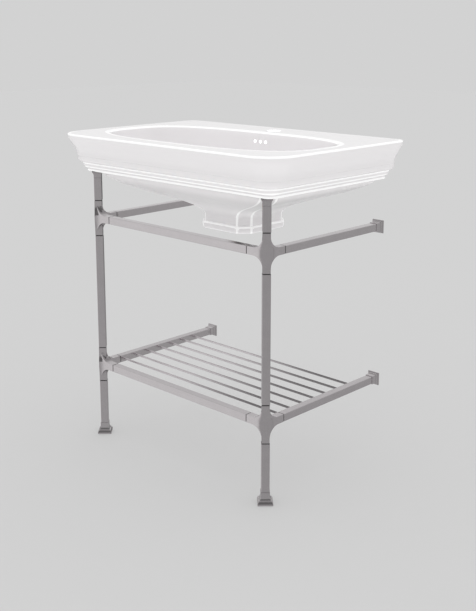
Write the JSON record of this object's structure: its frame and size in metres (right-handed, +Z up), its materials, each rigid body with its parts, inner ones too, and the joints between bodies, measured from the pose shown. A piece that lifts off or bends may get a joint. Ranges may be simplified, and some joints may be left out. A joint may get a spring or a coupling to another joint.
{
  "type": "console basin",
  "caption": "Rectangular ceramic basin with an oval bowl and moulded fascia, fixed to the wall and carried on a polished metal washstand with towel rail and slatted shelf.",
  "frame": {"origin": "on the floor, under the middle of the basin's outline", "axes": "+X along the wall to the right as seen from the room, +Y into the wall, +Z up"},
  "size_m": [0.8, 0.52, 0.875],
  "materials": {
    "ceramic": "glossy white glaze",
    "nickel": "polished, warm grey",
    "brass": "machined",
    "steel": "plain",
    "rubber": "matt black",
    "plastic": "matt black",
    "white_plastic": "moulded white"
  },
  "bodies": {
    "stand": {"basin": "ceramic", "waste_flange": "nickel", "waste_seal_upper": "rubber", "waste_seal_lower": "rubber", "waste_backnut": "brass", "waste_cartridge": "white_plastic", "waste_spring": "steel", "towel_rail": "nickel", "shelf_front_rail": "nickel", "joint_screws": "steel", "basin_pad_left": "rubber", "leg_cap_left": "nickel", "leg_tube_upper_left": "nickel", "casting_upper_left": "nickel", "leg_tube_middle_left": "nickel", "casting_lower_left": "nickel", "leg_tube_lower_left": "nickel", "foot_left": "nickel", "levelling_nut_left": "brass", "side_rail_upper_left": "nickel", "wall_socket_upper_left": "steel", "wall_rose_upper_left": "nickel", "side_rail_lower_left": "nickel", "wall_socket_lower_left": "steel", "wall_rose_lower_left": "nickel", "basin_pad_right": "rubber", "leg_cap_right": "nickel", "leg_tube_upper_right": "nickel", "casting_upper_right": "nickel", "leg_tube_middle_right": "nickel", "casting_lower_right": "nickel", "leg_tube_lower_right": "nickel", "foot_right": "nickel", "levelling_nut_right": "brass", "side_rail_upper_right": "nickel", "wall_socket_upper_right": "steel", "wall_rose_upper_right": "nickel", "side_rail_lower_right": "nickel", "wall_socket_lower_right": "steel", "wall_rose_lower_right": "nickel", "shelf_rod_1": "nickel", "shelf_rod_2": "nickel", "shelf_rod_3": "nickel", "shelf_rod_4": "nickel", "shelf_rod_5": "nickel", "shelf_rod_6": "nickel", "shelf_rod_7": "nickel"},
    "plug": {"waste_plug": "nickel", "plug_seal": "rubber"},
    "glide_left": {"glide_pad_left": "plastic", "levelling_stud_left": "steel"},
    "glide_right": {"glide_pad_right": "plastic", "levelling_stud_right": "steel"}
  },
  "joints": [
    {"name": "plug_lift", "type": "slide", "parent": "stand", "child": "plug", "axis": [0, 0, 1], "range_m": [0, 0.009], "deforming": ["waste_spring"]},
    {"name": "foot_travel_left", "type": "slide", "parent": "stand", "child": "glide_left", "axis": [0, 0, -1], "range_m": [0, 0.012]},
    {"name": "foot_travel_right", "type": "slide", "parent": "stand", "child": "glide_right", "axis": [0, 0, -1], "range_m": [0, 0.012]}
  ]
}
